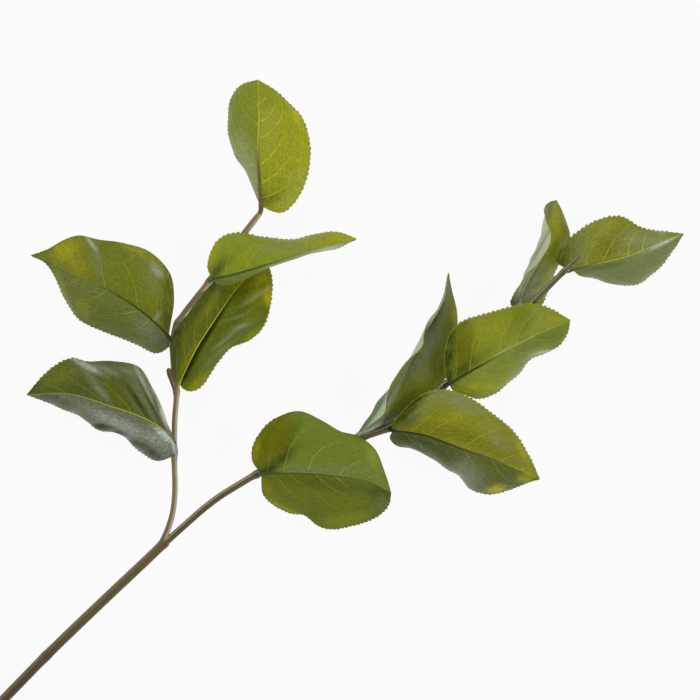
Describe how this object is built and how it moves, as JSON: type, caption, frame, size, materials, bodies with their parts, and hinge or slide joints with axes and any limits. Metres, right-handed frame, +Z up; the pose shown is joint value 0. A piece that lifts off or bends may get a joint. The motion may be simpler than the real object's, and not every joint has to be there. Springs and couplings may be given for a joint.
{
  "type": "cut salal branch",
  "caption": "Cut salal branch lying on a surface: a forked woody stem with alternating broad, pointed, finely toothed leathery leaves, some of them folded or curled.",
  "frame": {"origin": "middle of the branch's outline seen from above, on the surface that the branch lies on", "axes": "+Z up, off the surface; +X towards the tip of the right shoot; +Y towards the tip of the left shoot; the stem's cut end lies at -X and -Y"},
  "size_m": [0.4063, 0.3738, 0.0399],
  "materials": {
    "bark": "thin brown bark, olive towards the shoots, satin",
    "leaf": "leathery leaf, olive to yellow-green, glossy above and pale and matt below, with net veins"
  },
  "bodies": {
    "root": {"stem": "bark", "leaf_left_1": "leaf", "leaf_left_2": "leaf", "leaf_left_3": "leaf", "leaf_left_4": "leaf", "leaf_left_5": "leaf", "leaf_right_1": "leaf", "leaf_right_2": "leaf", "leaf_right_3": "leaf", "leaf_right_4": "leaf", "leaf_right_5": "leaf", "leaf_right_6": "leaf"}
  },
  "joints": []
}
